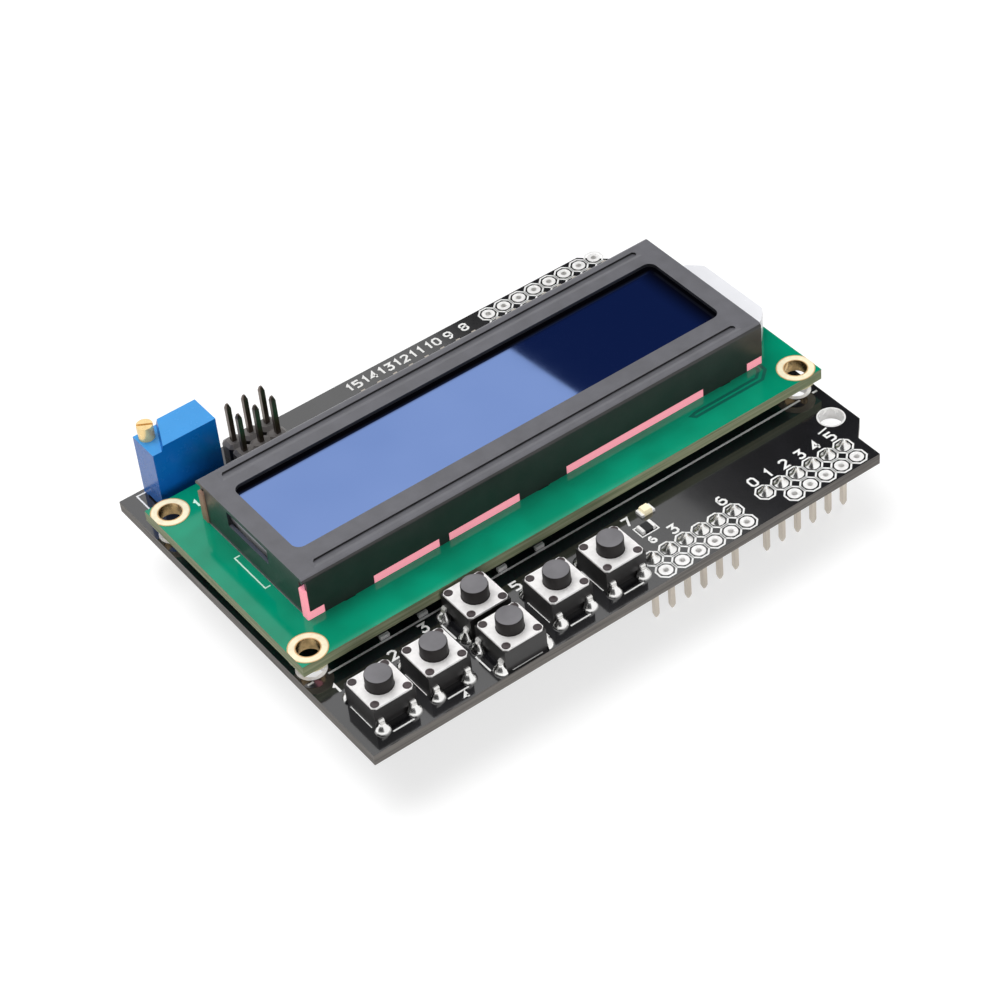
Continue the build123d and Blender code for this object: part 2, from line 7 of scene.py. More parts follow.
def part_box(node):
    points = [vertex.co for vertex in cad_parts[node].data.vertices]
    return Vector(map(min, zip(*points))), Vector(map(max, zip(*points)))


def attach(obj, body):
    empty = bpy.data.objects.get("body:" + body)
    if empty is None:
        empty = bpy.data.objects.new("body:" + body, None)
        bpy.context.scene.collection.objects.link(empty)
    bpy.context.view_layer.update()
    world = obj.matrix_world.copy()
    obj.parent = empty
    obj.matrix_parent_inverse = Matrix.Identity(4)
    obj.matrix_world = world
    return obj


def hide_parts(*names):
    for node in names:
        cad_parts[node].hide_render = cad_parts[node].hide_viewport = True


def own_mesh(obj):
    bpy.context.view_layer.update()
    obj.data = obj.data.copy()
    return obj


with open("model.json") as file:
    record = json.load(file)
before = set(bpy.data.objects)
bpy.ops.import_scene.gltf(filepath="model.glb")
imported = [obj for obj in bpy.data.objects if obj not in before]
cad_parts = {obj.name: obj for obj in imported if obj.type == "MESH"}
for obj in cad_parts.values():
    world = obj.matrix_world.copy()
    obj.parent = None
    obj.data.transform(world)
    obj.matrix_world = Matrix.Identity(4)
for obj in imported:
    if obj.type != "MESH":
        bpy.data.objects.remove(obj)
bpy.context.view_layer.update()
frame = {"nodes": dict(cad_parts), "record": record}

MM = 0.001


def in_metres(pairs):
    # Pairs of millimetres turned to metres
    return [(a * MM, b * MM) for a, b in pairs]


# Places read from the frame

def low(node):
    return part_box(node)[0]


def high(node):
    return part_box(node)[1]


def middle(node):
    return (low(node) + high(node)) / 2


shield_low, shield_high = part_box("shield_board")
lcd_low, lcd_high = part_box("lcd_board")
bezel_low, bezel_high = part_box("lcd_bezel")
shield_top = shield_high.z
shield_bottom = shield_low.z
lcd_top = lcd_high.z
pitch = 2.54 * MM
pin_half_width = 0.32 * MM

KEYS = ("select_key", "left_key", "up_key", "down_key", "right_key", "reset_key")
TURNED_KEYS = ("up_key", "down_key")


def row_places(node, count):
    # Plan points of a header's pins, from its node's box
    first, last = low(node), high(node)
    pin = first.y + (last.y - first.y) / 2
    step = (last.x - first.x - 2 * pin_half_width) / (count - 1)
    return [(first.x + pin_half_width + step * n, pin) for n in range(count)]


power_places = row_places("power_header_pins", 6)
analog_places = row_places("analog_header_pins", 6)
digital_low_places = row_places("digital_low_header_pins", 8)
digital_high_places = row_places("digital_high_header_pins", 8)
lcd_places = row_places("lcd_header_pins", 16)
block_middle = middle("pin_block_pins")
block_places = [
    (block_middle.x + column * pitch, block_middle.y + row * pitch / 2)
    for row in (-1, 1)
    for column in (-1, 0, 1)
]
front_spare_places = [(x, y - pitch) for x, y in power_places + analog_places[1:]]
rear_spare_places = [(x, y + pitch) for x, y in digital_low_places]

hole_inset = 2.3 * MM
hole_radius = 1.5 * MM
display_hole_places = [
    (side_x, hole_y)
    for side_x in (lcd_low.x + hole_inset, lcd_high.x - hole_inset)
    for hole_y in (lcd_low.y + hole_inset, lcd_high.y - hole_inset)
]
mount_record = {mount["name"]: mount for mount in frame["record"]["mounts"]}
board_hole = Vector(mount_record["board_hole"]["pos_m"])
board_hole_radius = mount_record["board_hole"]["dims"]["r_mm"] * MM


# Materials

class Paint:
    """A node material with one Principled shader, and short calls for the nodes that feed it."""

    def __init__(self, name, metallic=0.0, specular=0.5, **sockets):
        self.material = bpy.data.materials.new(name)
        self.material.use_nodes = True
        self.nodes = self.material.node_tree.nodes
        self.links = self.material.node_tree.links
        self.shader = self.nodes["Principled BSDF"]
        self.shader.inputs["Metallic"].default_value = metallic
        self.shader.inputs["Specular IOR Level"].default_value = specular
        for socket, value in sockets.items():
            self.shader.inputs[socket.replace("_", " ")].default_value = value
        self.place = self.nodes.new("ShaderNodeTexCoord").outputs["Object"]

    def node(self, kind, inputs=(), **settings):
        made = self.nodes.new("ShaderNode" + kind)
        for name, value in settings.items():
            setattr(made, name, value)
        for socket, value in dict(inputs).items():
            if isinstance(value, bpy.types.NodeSocket):
                self.links.new(value, made.inputs[socket])
            else:
                made.inputs[socket].default_value = value
        return made

    def stretched(self, x, y, z):
        return self.node("Mapping", {"Vector": self.place, "Scale": (x, y, z)}).outputs["Vector"]

    def noise(self, scale, detail, where=None):
        inputs = {"Vector": where or self.place, "Scale": scale, "Detail": detail}
        return self.node("TexNoise", inputs).outputs["Fac"]

    def ramp(self, value, stops):
        # From the first stop's colour to the second's
        made = self.node("ValToRGB", {"Fac": value})
        for element, (position, colour) in zip(made.color_ramp.elements, stops):
            element.position = position
            element.color = (*colour, 1)
        return made.outputs["Color"]

    def mix(self, factor, first, second):
        # The first colour where the factor is 0 and the second where it is 1
        factor_socket, first_socket, second_socket, result_socket = 0, 6, 7, 2
        made = self.nodes.new("ShaderNodeMix")
        made.data_type = "RGBA"
        self.links.new(factor, made.inputs[factor_socket])
        for number, value in ((first_socket, first), (second_socket, second)):
            if isinstance(value, bpy.types.NodeSocket):
                self.links.new(value, made.inputs[number])
            else:
                made.inputs[number].default_value = (*value, 1)
        return made.outputs[result_socket]

    def colour(self, value):
        if isinstance(value, bpy.types.NodeSocket):
            self.links.new(value, self.shader.inputs["Base Color"])
        else:
            self.shader.inputs["Base Color"].default_value = (*value, 1)

    def roughness(self, value, low_end, high_end):
        made = self.node("MapRange", {"Value": value, "To Min": low_end, "To Max": high_end})
        self.links.new(made.outputs["Result"], self.shader.inputs["Roughness"])

    def bump(self, height, distance, strength):
        made = self.node("Bump", {"Height": height, "Distance": distance, "Strength": strength})
        self.links.new(made.outputs["Normal"], self.shader.inputs["Normal"])

    def rise(self, value, start, end):
        # 0 before the start, 1 after the end and smooth between them
        made = self.node("MapRange", {"Value": value, "From Min": start, "From Max": end})
        made.interpolation_type = "SMOOTHSTEP"
        return made.outputs["Result"]

    def apart(self, value, place):
        # Distance of a coordinate from a place
        away = self.node("Math", {0: value, 1: place}, operation="SUBTRACT").outputs[0]
        return self.node("Math", {0: away}, operation="ABSOLUTE").outputs[0]

    def upright(self):
        # 1 on faces that look up or down and 0 on sides and cut edges
        least_upward = 0.7
        normal = self.node("NewGeometry").outputs["Normal"]
        split = self.node("SeparateXYZ", {"Vector": normal}).outputs["Z"]
        size = self.node("Math", {0: split}, operation="ABSOLUTE").outputs[0]
        return self.node("Math", {0: size, 1: least_upward}, operation="GREATER_THAN").outputs[0]


def board_paint(name, mask, shade, laminate, laminate_dark, specular, coat):
    # Glossy solder mask on the faces, with faint copper under it, and bare rough laminate on the edges
    face_roughness = 0.12
    edge_roughness = 0.7
    copper_scale = 160
    layer_scale = 90
    layers_upward = 60
    dust_scale = 700
    dust_depth = 0.00001
    paint = Paint(name, specular=specular, Coat_Roughness=0.05, Coat_IOR=1.55)
    face = paint.upright()
    patches = paint.ramp(paint.noise(copper_scale, 2), [(0.40, mask), (0.62, shade)])
    layers = paint.noise(layer_scale, 4, paint.stretched(1, 1, layers_upward))
    edge = paint.ramp(layers, [(0.35, laminate_dark), (0.62, laminate)])
    paint.colour(paint.mix(face, edge, patches))
    paint.roughness(face, edge_roughness, face_roughness)
    gloss = paint.node("Math", {0: face, 1: coat}, operation="MULTIPLY").outputs[0]
    paint.links.new(gloss, paint.shader.inputs["Coat Weight"])
    paint.bump(paint.noise(dust_scale, 3), dust_depth, 0.2)
    return paint.material


def plastic_paint(
        name, colour, roughness, specular=0.5, grain=1800, grain_depth=0.00003, change=0.25,
        top=None, glow=0.0):
    # Moulded plastic with a fine grain and slightly uneven colour, a paler top where one is given,
    # which is a painted highlight, and a glow where one is given, which is painted light
    patch_scale = 260
    wear_scale = 900
    # The glow is painted light
    paint = Paint(name, specular=specular, Emission_Strength=glow, Emission_Color=(*colour, 1))
    patches = paint.noise(patch_scale, 3)

    def uneven(shade):
        darker = tuple(c * (1 - change) for c in shade)
        lighter = tuple(min(1, c * (1 + change)) for c in shade)
        return paint.ramp(patches, [(0.3, darker), (0.7, lighter)])

    # Faces that look up or down take the top colour, a painted highlight over the sides' colour
    paint.colour(paint.mix(paint.upright(), uneven(colour), uneven(top)) if top else uneven(colour))
    paint.roughness(paint.noise(wear_scale, 2), roughness * 0.8, roughness * 1.2)
    paint.bump(paint.noise(grain, 3), grain_depth, 0.4)
    return paint.material


def metal_paint(name, colour, roughness, stretch=(1, 1, 1), change=0.15, grain=1500):
    # Plated or turned metal with fine marks and tarnish
    wear_scale = 600
    mark_depth = 0.00002
    paint = Paint(name, metallic=1.0)
    darker = tuple(c * (1 - change) for c in colour)
    marks = paint.noise(grain, 4, paint.stretched(*stretch))
    paint.colour(paint.ramp(marks, [(0.35, darker), (0.65, colour)]))
    paint.roughness(paint.noise(wear_scale, 3), roughness * 0.7, roughness * 1.4)
    paint.bump(marks, mark_depth, 0.3)
    return paint.material


def tinned_paint(name, colour, roughness, metallic=0.55):
    # A softly shining plated face, between a mirror and a matt one
    tarnish_share = 0.90
    tarnish_scale = 1300
    wear_scale = 700
    grain_scale = 2200
    grain_depth = 0.00001
    paint = Paint(name, metallic=metallic)
    darker = tuple(c * tarnish_share for c in colour)
    paint.colour(paint.ramp(paint.noise(tarnish_scale, 3), [(0.35, darker), (0.6, colour)]))
    paint.roughness(paint.noise(wear_scale, 3), roughness * 0.75, roughness * 1.35)
    paint.bump(paint.noise(grain_scale, 3), grain_depth, 0.25)
    return paint.material


dark_border_x = (28.8 * MM, 32.4 * MM)
dark_border_y = (9.4 * MM, 10.3 * MM)


def glass_paint():
    # The blue display under its film, with a dark border at the rear and right, a painted navy glow on
    # its faces and a painted pale blue glow on its cut ends
    film_scale = 55
    smear_scale = 400
    paint = Paint("display_blue", metallic=1.0, Emission_Strength=1.0)
    film = paint.noise(film_scale, 2)
    blue = paint.ramp(film, [(0.3, (0.180, 0.275, 0.545)), (0.7, (0.205, 0.305, 0.585))])
    split = paint.node("SeparateXYZ", {"Vector": paint.place})
    right_edge = paint.rise(split.outputs["X"], *dark_border_x)
    rear_edge = paint.rise(split.outputs["Y"], *dark_border_y)
    black = paint.node("Math", {0: right_edge, 1: rear_edge}, operation="MAXIMUM").outputs[0]
    paint.colour(paint.mix(black, blue, (0.02, 0.022, 0.03)))
    # Painted light: the faces glow deep navy, except at the border, and the cut ends glow pale blue
    painted_face_glow = paint.mix(black, (0.0012, 0.0065, 0.048), (0.001, 0.001, 0.002))
    painted_glow = paint.mix(paint.upright(), (0.02, 0.16, 0.42), painted_face_glow)
    paint.links.new(painted_glow, paint.shader.inputs["Emission Color"])
    paint.roughness(paint.noise(smear_scale, 2), 0.018, 0.034)
    return paint.material


groove_distance = 10.0 * MM
groove_half_length = 32.1 * MM
groove_half_width = 0.40 * MM
shoulder_reach = 1.0 * MM
shoulder_past_end = 0.6 * MM
shoulder_depth = 0.12 * MM


def bezel_paint():
    # Satin black enamel on folded steel, painted greyer on top as a highlight and near black on the
    # walls as shade, with a soft shoulder round each groove
    mottle_scale = 420
    wear_scale = 1500
    grain_scale = 3200
    grain_depth = 0.00003
    paint = Paint("bezel_enamel", Coat_Weight=0.25, Coat_Roughness=0.30)
    fine = paint.noise(mottle_scale, 4)
    # Painted light: the top's colour is a painted highlight and the walls' colour painted shade
    top = paint.ramp(fine, [(0.3, (0.094, 0.094, 0.105)), (0.7, (0.118, 0.118, 0.133))])
    wall = paint.ramp(fine, [(0.3, (0.010, 0.010, 0.010)), (0.7, (0.017, 0.016, 0.016))])
    paint.colour(paint.mix(paint.upright(), wall, top))
    paint.roughness(paint.noise(wear_scale, 3), 0.32, 0.46)
    split = paint.node("SeparateXYZ", {"Vector": paint.place})
    from_middle = paint.apart(split.outputs["Y"], middle("lcd_bezel").y)
    beside = paint.rise(paint.apart(from_middle, groove_distance), groove_half_width, shoulder_reach)
    shoulder_end = groove_half_length + shoulder_past_end
    beyond = paint.rise(paint.apart(split.outputs["X"], 0.0), groove_half_length, shoulder_end)
    shoulder = paint.node("Math", {0: beside, 1: beyond}, operation="MAXIMUM").outputs[0]
    pressed = paint.node("Bump", {"Height": shoulder, "Distance": shoulder_depth, "Strength": 1.0})
    grain = paint.node("Bump", {
        "Height": paint.noise(grain_scale, 3), "Distance": grain_depth, "Strength": 0.3,
        "Normal": pressed.outputs["Normal"]})
    paint.links.new(grain.outputs["Normal"], paint.shader.inputs["Normal"])
    return paint.material


PAINTS = {
    "shield_mask": board_paint(
        "shield_mask", (0.0070, 0.0070, 0.0080), (0.011, 0.011, 0.013),
        (0.185, 0.170, 0.155), (0.085, 0.077, 0.070), 0.8, 1.0),
    "green_mask": board_paint(
        "green_mask", (0.0, 0.255, 0.140), (0.0, 0.300, 0.168),
        (0.34, 0.36, 0.23), (0.18, 0.22, 0.12), 0.35, 0.15),
    "header_plastic": plastic_paint("header_plastic", (0.018, 0.018, 0.019), 0.45),
    # The pin block's paler top is a painted highlight
    "block_plastic": plastic_paint(
        "block_plastic", (0.045, 0.042, 0.042), 0.36, change=0.3, top=(0.135, 0.125, 0.12)),
    "pin_metal": metal_paint("pin_metal", (0.66, 0.60, 0.52), 0.34, (1, 1, 0.08)),
    "dark_pin": metal_paint("dark_pin", (0.16, 0.13, 0.11), 0.36, (1, 1, 0.08)),
    "bezel": bezel_paint(),
    "bare_steel": metal_paint("bare_steel", (0.62, 0.62, 0.63), 0.35),
    "display": glass_paint(),
    "rear_glass": plastic_paint("rear_glass", (0.02, 0.16, 0.50), 0.12, 0.6, change=0.1),
    # The pink rubber's glow is painted light that lifts it out of the shade under the wall
    "rubber": plastic_paint("pink_rubber", (1.0, 0.35, 0.43), 0.50, 0.4, change=0.03, glow=0.40),
    "rear_rubber": plastic_paint("rear_rubber", (0.34, 0.21, 0.15), 0.55, 0.4, change=0.2),
    "white_plastic": plastic_paint("diffuser_white", (0.84, 0.845, 0.88), 0.25, 0.5, change=0.02),
    "resin": plastic_paint("resin_black", (0.010, 0.010, 0.011), 0.22, 0.5),
    "switch_plastic": plastic_paint("switch_black", (0.013, 0.012, 0.012), 0.36),
    "peg_plastic": plastic_paint("peg_brown", (0.050, 0.038, 0.040), 0.32, 0.5, change=0.2),
    "cover_metal": tinned_paint("cover_metal", (0.97, 0.955, 0.945), 0.36, 0.25),
    # The plunger's grey top is a painted sheen over near black plastic
    "plunger": plastic_paint(
        "plunger_grey", (0.020, 0.018, 0.018), 0.46, 0.15, change=0.15, top=(0.178, 0.174, 0.184)),
    "steel": metal_paint("spring_steel", (0.70, 0.70, 0.70), 0.25),
    "tinned": tinned_paint("tinned_leg", (0.93, 0.92, 0.90), 0.26),
    # The trimmer's paler top is a painted highlight
    "trimmer": plastic_paint(
        "trimmer_blue", (0.003, 0.128, 0.50), 0.26, 0.35, grain=1200, grain_depth=0.000006, change=0.03,
        top=(0.050, 0.310, 0.72)),
    "brass": tinned_paint("turned_brass", (0.98, 0.72, 0.34), 0.26),
    "gold": tinned_paint("gold_ring", (1.0, 0.91, 0.65), 0.30, 0.05),
    "rim_gold": tinned_paint("rim_gold", (0.80, 0.52, 0.24), 0.30, 0.3),
    "barrel": metal_paint("gold_barrel", (0.78, 0.55, 0.27), 0.25, change=0.3),
    "silver": tinned_paint("tin_ring", (0.98, 0.97, 0.96), 0.25, 0.15),
    "solder": metal_paint("solder", (0.96, 0.955, 0.94), 0.20, change=0.08, grain=900),
    "chip": plastic_paint("chip_black", (0.016, 0.016, 0.018), 0.3),
    "lamp_body": plastic_paint("lamp_body", (1.0, 0.88, 0.60), 0.26, change=0.06, glow=0.15),
    "print_white": plastic_paint("print_white", (0.86, 0.86, 0.85), 0.55, 0.3, change=0.04),
    "print_mint": plastic_paint("print_mint", (0.62, 0.86, 0.74), 0.5, 0.3, change=0.05),
    "mask_groove": plastic_paint("mask_groove", (0.0, 0.125, 0.085), 0.2, 0.6, change=0.05),
}

NODE_PAINTS = {
    "shield_board": "shield_mask", "lcd_board": "green_mask", "lcd_bezel": "bezel",
    "lcd_front_glass": "display", "lcd_rear_glass": "rear_glass",
    "front_contact_strip": "rubber", "rear_contact_strip": "rear_rubber",
    "backlight_panel": "white_plastic", "controller_blobs": "resin", "trimmer_housing": "trimmer",
    "trimmer_screw": "brass", "trimmer_leads": "tinned", "chip_resistors": "chip",
    "indicator_led": "lamp_body", "solder_joints": "solder",
    "pin_block_pins": "dark_pin", "pin_block_strip": "block_plastic",
}
SUFFIX_PAINTS = {
    "_pins": "pin_metal", "_header_strip": "header_plastic",
    "_key_housing": "switch_plastic", "_key_cover": "cover_metal", "_key_plunger": "plunger",
    "_key_dome": "steel", "_key_terminals": "tinned",
}


def paint_for(node):
    if node in NODE_PAINTS:
        return NODE_PAINTS[node]
    return next(paint for suffix, paint in SUFFIX_PAINTS.items() if node.endswith(suffix))


for node_name, node_object in frame["nodes"].items():
    node_object.data.materials.clear()
    node_object.data.materials.append(PAINTS[paint_for(node_name)])


# Mesh helpers. A shape is a pair: its points and its faces.

sharp_angle = math.radians(38)
fine_sides = 48
coarse_sides = 24


def joined(shapes):
    # Several shapes as one
    points, faces = [], []
    for shape_points, shape_faces in shapes:
        start = len(points)
        points += list(shape_points)
        faces += [tuple(start + n for n in face) for face in shape_faces]
    return points, faces


def moved(shape, x=0.0, y=0.0, z=0.0, turn=0.0):
    # A shape turned about the Z axis and then shifted
    c, s = math.cos(turn), math.sin(turn)
    points, faces = shape
    return [(c * px - s * py + x, s * px + c * py + y, pz + z) for px, py, pz in points], faces


def piece(name, shapes, paint, body="board", smooth=False):
    # A visible object made of shapes, on one of the part's bodies
    points, faces = joined(shapes)
    mesh = bpy.data.meshes.new(name)
    mesh.from_pydata([tuple(p) for p in points], [], faces)
    mesh.validate()
    mesh.materials.append(PAINTS[paint])
    for polygon in mesh.polygons:
        polygon.use_smooth = smooth
    if smooth:
        mesh.set_sharp_from_angle(angle=sharp_angle)
    made = bpy.data.objects.new(name, mesh)
    bpy.context.scene.collection.objects.link(made)
    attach(made, body)
    return made


def lathe(profile, sides):
    # A profile of (radius, height) turned about the Z axis, with its ends open
    points = [
        (r * math.cos(math.tau * n / sides), r * math.sin(math.tau * n / sides), z)
        for r, z in profile
        for n in range(sides)
    ]
    faces = []
    for level in range(len(profile) - 1):
        for n in range(sides):
            a = level * sides + n
            b = level * sides + (n + 1) % sides
            faces.append((a, b, b + sides, a + sides))
    return points, faces


def turned(profile, sides):
    # The same with its ends closed
    points, faces = lathe(profile, sides)
    last_level = (len(profile) - 1) * sides
    ends = [tuple(reversed(range(sides))), tuple(range(last_level, last_level + sides))]
    return points, faces + ends


def slab(outline, z, thickness):
    # A thin flat plate with the outline's points
    count = len(outline)
    points = [(x, y, z) for x, y in outline] + [(x, y, z + thickness) for x, y in outline]
    faces = [tuple(reversed(range(count))), tuple(range(count, 2 * count))]
    faces += [(n, (n + 1) % count, (n + 1) % count + count, n + count) for n in range(count)]
    return points, faces


def brick(x_span, y_span, z_span):
    # A straight sided block
    (x0, x1), (y0, y1) = x_span, y_span
    return slab([(x0, y0), (x1, y0), (x1, y1), (x0, y1)], z_span[0], z_span[1] - z_span[0])


print_thickness = 0.025 * MM
sharpest_mitre = 0.35


def ribbon(line, width, z, closed=False):
    # A thin printed line through plan points, mitred at its corners
    count = len(line)
    line = [Vector(p) for p in line]
    left, right = [], []
    for n, here in enumerate(line):
        before = line[n - 1] if closed or n else here
        after = line[(n + 1) % count] if closed or n < count - 1 else here
        first = (here - before).normalized() if (here - before).length else (after - here).normalized()
        second = (after - here).normalized() if (after - here).length else first
        side_one = Vector((-first.y, first.x))
        side_two = Vector((-second.y, second.x))
        side = (side_one + side_two).normalized()
        reach = width / 2 / max(sharpest_mitre, side.dot(side_one))
        left.append(here + side * reach)
        right.append(here - side * reach)
    shapes = []
    for n in range(count if closed else count - 1):
        m = (n + 1) % count
        shapes.append(slab([right[n], right[m], left[m], left[n]], z, print_thickness))
    return joined(shapes)


def ring(x, y, z, inner, outer, thickness, sides=fine_sides, limit_x=None):
    # A flat ring, cut off where the board ends
    def held(px):
        return px if limit_x is None else max(-limit_x, min(limit_x, px))
    points = []
    for height in (z, z + thickness):
        for radius in (inner, outer):
            for n in range(sides):
                angle = math.tau * n / sides
                points.append((held(x + radius * math.cos(angle)), y + radius * math.sin(angle), height))
    faces = []
    for n in range(sides):
        m = (n + 1) % sides
        a, b, c, d = n, m, sides + n, sides + m
        e, f, g, h = (v + 2 * sides for v in (a, b, c, d))
        faces += [(a, b, d, c), (e, g, h, f), (c, d, h, g), (a, e, f, b)]
    return points, faces


# Plated rings and hole walls

lcd_ring_radius = 2.5 * MM
lower_ring_radius = 1.95 * MM
board_ring_radius = 1.85 * MM
plating = 0.04 * MM


def hole_barrel(x, y, bottom, top, radius, sides=fine_sides):
    # The plated wall of a hole
    return moved(lathe([
        (radius - plating, bottom - plating), (radius - plating, top + plating),
        (radius + plating / 2, top + plating), (radius + plating / 2, bottom - plating),
        (radius - plating, bottom - plating)], sides), x, y)


def hole_rings(x, y, bottom, top, radius, ring_radius, limit_x=None, sides=fine_sides):
    # One ring on each face of a board
    return joined([
        ring(x, y, z, radius - plating, ring_radius, plating, sides, limit_x)
        for z in (top, bottom - plating)])


edge_x = shield_high.x
piece("display_hole_barrels", [
    hole_barrel(x, y, lcd_low.z, lcd_top, hole_radius) for x, y in display_hole_places],
    "barrel", smooth=True)
piece("display_hole_rings", [
    hole_rings(x, y, lcd_low.z, lcd_top, hole_radius + plating, lcd_ring_radius, edge_x)
    for x, y in display_hole_places], "gold")
rim_width = 0.13 * MM
rim_rise = plating * 1.2
piece("display_hole_rims", [
    ring(x, y, lcd_top, inner, inner + rim_width, rim_rise, limit_x=edge_x)
    for x, y in display_hole_places
    for inner in (hole_radius, lcd_ring_radius - rim_width)], "rim_gold")
lower_holes = [(x, y, hole_radius, lower_ring_radius) for x, y in display_hole_places]
lower_holes.append((board_hole.x, board_hole.y, board_hole_radius, board_ring_radius))
piece("lower_hole_barrels", [
    hole_barrel(x, y, shield_bottom, shield_top, radius) for x, y, radius, outer in lower_holes],
    "silver", smooth=True)
piece("lower_hole_rings", [
    hole_rings(x, y, shield_bottom, shield_top, radius + plating, outer, edge_x)
    for x, y, radius, outer in lower_holes], "silver")

spare_hole_radius = 0.40 * MM
spare_ring_radius = 0.90 * MM
spare_barrel_sides = 20
spare_ring_sides = 32
spare_places = front_spare_places + rear_spare_places
piece("spare_pad_barrels", [
    hole_barrel(x, y, shield_bottom, shield_top, spare_hole_radius, spare_barrel_sides)
    for x, y in spare_places],
    "silver", smooth=True)
piece("spare_pad_rings", [
    hole_rings(
        x, y, shield_bottom, shield_top, spare_hole_radius + plating, spare_ring_radius,
        sides=spare_ring_sides)
    for x, y in spare_places], "silver")


# Solder

def solder_fillet(base, height, tip):
    # A concave solder fillet that rises to its tip
    steps = 9
    narrowing = 1.9
    rising = 0.85
    profile = [
        (tip + (base - tip) * (1 - n / steps) ** narrowing, height * (n / steps) ** rising)
        for n in range(steps + 1)
    ]
    return turned(profile, coarse_sides)


def hung(shape):
    # The same shape upside down
    points, faces = shape
    return [(x, y, -z) for x, y, z in points], [tuple(reversed(face)) for face in faces]


cone_sides = 28
cone_profile = in_metres([
    (0.93, 0), (0.80, 0.10), (0.67, 0.24), (0.54, 0.42), (0.42, 0.62), (0.31, 0.84), (0.21, 1.06),
    (0.12, 1.20), (0.04, 1.25)])
front_cone = turned(cone_profile, cone_sides)
rear_cone_share = 0.64
rear_cone = turned([(radius, height * rear_cone_share) for radius, height in cone_profile], cone_sides)
pin_cone = solder_fillet(base=0.80 * MM, height=0.78 * MM, tip=0.34 * MM)
solder_object = piece("solder_cones", [
    moved(front_cone, x, y, shield_top) for x, y in power_places + analog_places] + [
    moved(rear_cone, x, y, shield_top) for x, y in digital_low_places + digital_high_places] + [
    moved(pin_cone, x, y, lcd_top) for x, y in lcd_places],
    "solder", smooth=True)
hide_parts("solder_joints")

key_places = {}
for key in KEYS:
    place = middle(key + "_housing")
    key_places[key] = (place.x, place.y, math.pi / 2 if key in TURNED_KEYS else 0.0)
leg_x = 2.25 * MM
leg_y = 3.25 * MM
key_half = 3.0 * MM
leg_offsets = [(side * leg_x, end * leg_y) for side in (-1, 1) for end in (-1, 1)]
side_clearance = 0.01 * MM
leg_mound = turned(in_metres([
    (1.05, 0), (1.02, 0.18), (0.90, 0.44), (0.70, 0.70), (0.50, 0.92), (0.42, 1.12), (0.37, 1.20)]),
    cone_sides)


def key_solder(key):
    # Solder that climbs the legs and stops at the switch's side
    x, y, turn = key_places[key]
    shapes = []
    clear = key_half + side_clearance
    for dx, dy in leg_offsets:
        points, faces = moved(leg_mound, dx, dy)
        points = [(px, math.copysign(max(abs(py), clear), dy), pz) for px, py, pz in points]
        shapes.append(moved((points, faces), x, y, shield_top, turn))
    return joined(shapes)


piece("key_leg_solder", [key_solder(key) for key in KEYS], "solder", smooth=True)

leg_places = []
for x, y, turn in key_places.values():
    c, s = math.cos(turn), math.sin(turn)
    leg_places += [(x + c * dx - s * dy, y + s * dx + c * dy) for dx, dy in leg_offsets]
trimmer_middle = middle("trimmer_leads")
trimmer_lead_places = [(trimmer_middle.x + pitch * n, trimmer_middle.y) for n in (-1, 0, 1)]
under_cone = hung(solder_fillet(base=0.85 * MM, height=0.80 * MM, tip=0.36 * MM))
piece("underside_solder", [
    moved(under_cone, x, y, shield_bottom)
    for x, y in lcd_places + block_places + leg_places + trimmer_lead_places],
    "solder", smooth=True)


# Smooth plungers

flange_radius = 2.05 * MM
flange_gap = 0.05 * MM
stem_radius = 1.7 * MM
stem_rounding = 0.22 * MM
rounding_angles = [step * math.pi / 8 for step in range(5)]
dish_start = 0.25 * MM
dish_end = 0.40 * MM
dish_depth = 0.03 * MM


def plunger_shape(key):
    # A flange under the cover, and a stem with a rounded edge and a faint dish on top
    bottom = low(key + "_plunger").z
    top = high(key + "_plunger").z
    flange_top = low(key + "_cover").z - flange_gap
    flange = [(flange_radius, bottom), (flange_radius, flange_top), (stem_radius, flange_top)]
    rounding = [
        (
            stem_radius - stem_rounding * (1 - math.cos(angle)),
            top - stem_rounding * (1 - math.sin(angle)),
        )
        for angle in rounding_angles
    ]
    rounded = stem_radius - stem_rounding
    dish = [(rounded - dish_start, top), (rounded - dish_end, top - dish_depth)]
    return turned(flange + rounding + dish, fine_sides)


for key in KEYS:
    x, y, turn = key_places[key]
    plunger = piece(
        key + "_button", [moved(plunger_shape(key), x, y)], "plunger", key, True)
    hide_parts(key + "_plunger")


# Sprung domes under the plungers

dome_rim = 0.3 * MM
dome_sheet = 0.1 * MM
dome_slope = 0.95 * MM
dome_sides = 40
for key in KEYS:
    x, y, turn = key_places[key]
    dome_low, dome_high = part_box(key + "_dome")
    dome_radius = (dome_high.x - dome_low.x) / 2
    dome_height = dome_high.z - dome_low.z
    inner_slope = dome_slope * (dome_height - dome_sheet) / dome_height
    dome_profile = [
        (dome_radius - dome_rim - inner_slope, dome_height - dome_sheet), (dome_radius - dome_rim, 0),
        (dome_radius, 0), (dome_radius - dome_slope, dome_height)]
    dome_shape = moved(turned(dome_profile, dome_sides), x, y, dome_low.z)
    spring = piece(key + "_spring", [dome_shape], "steel")
    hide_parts(key + "_dome")
    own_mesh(spring)


# The trimmer's slotted screw, with its slot turned as in the photo

screw_low, screw_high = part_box("trimmer_screw")
screw_middle = (screw_low + screw_high) / 2
screw_radius = (screw_high.x - screw_low.x) / 2
slot_depth = 0.45 * MM
slot_half = 0.17 * MM
slot_turn = math.radians(-32)
half_side_steps = 16


def screw_half(side):
    # One side of the screw's head beside its slot
    start = math.asin(slot_half / screw_radius)
    end = math.pi - start
    outline = [
        (screw_radius * math.cos(angle), side * screw_radius * math.sin(angle))
        for angle in (start + (end - start) * n / half_side_steps for n in range(half_side_steps + 1))
    ]
    return slab(outline[::side], screw_high.z - slot_depth, slot_depth)


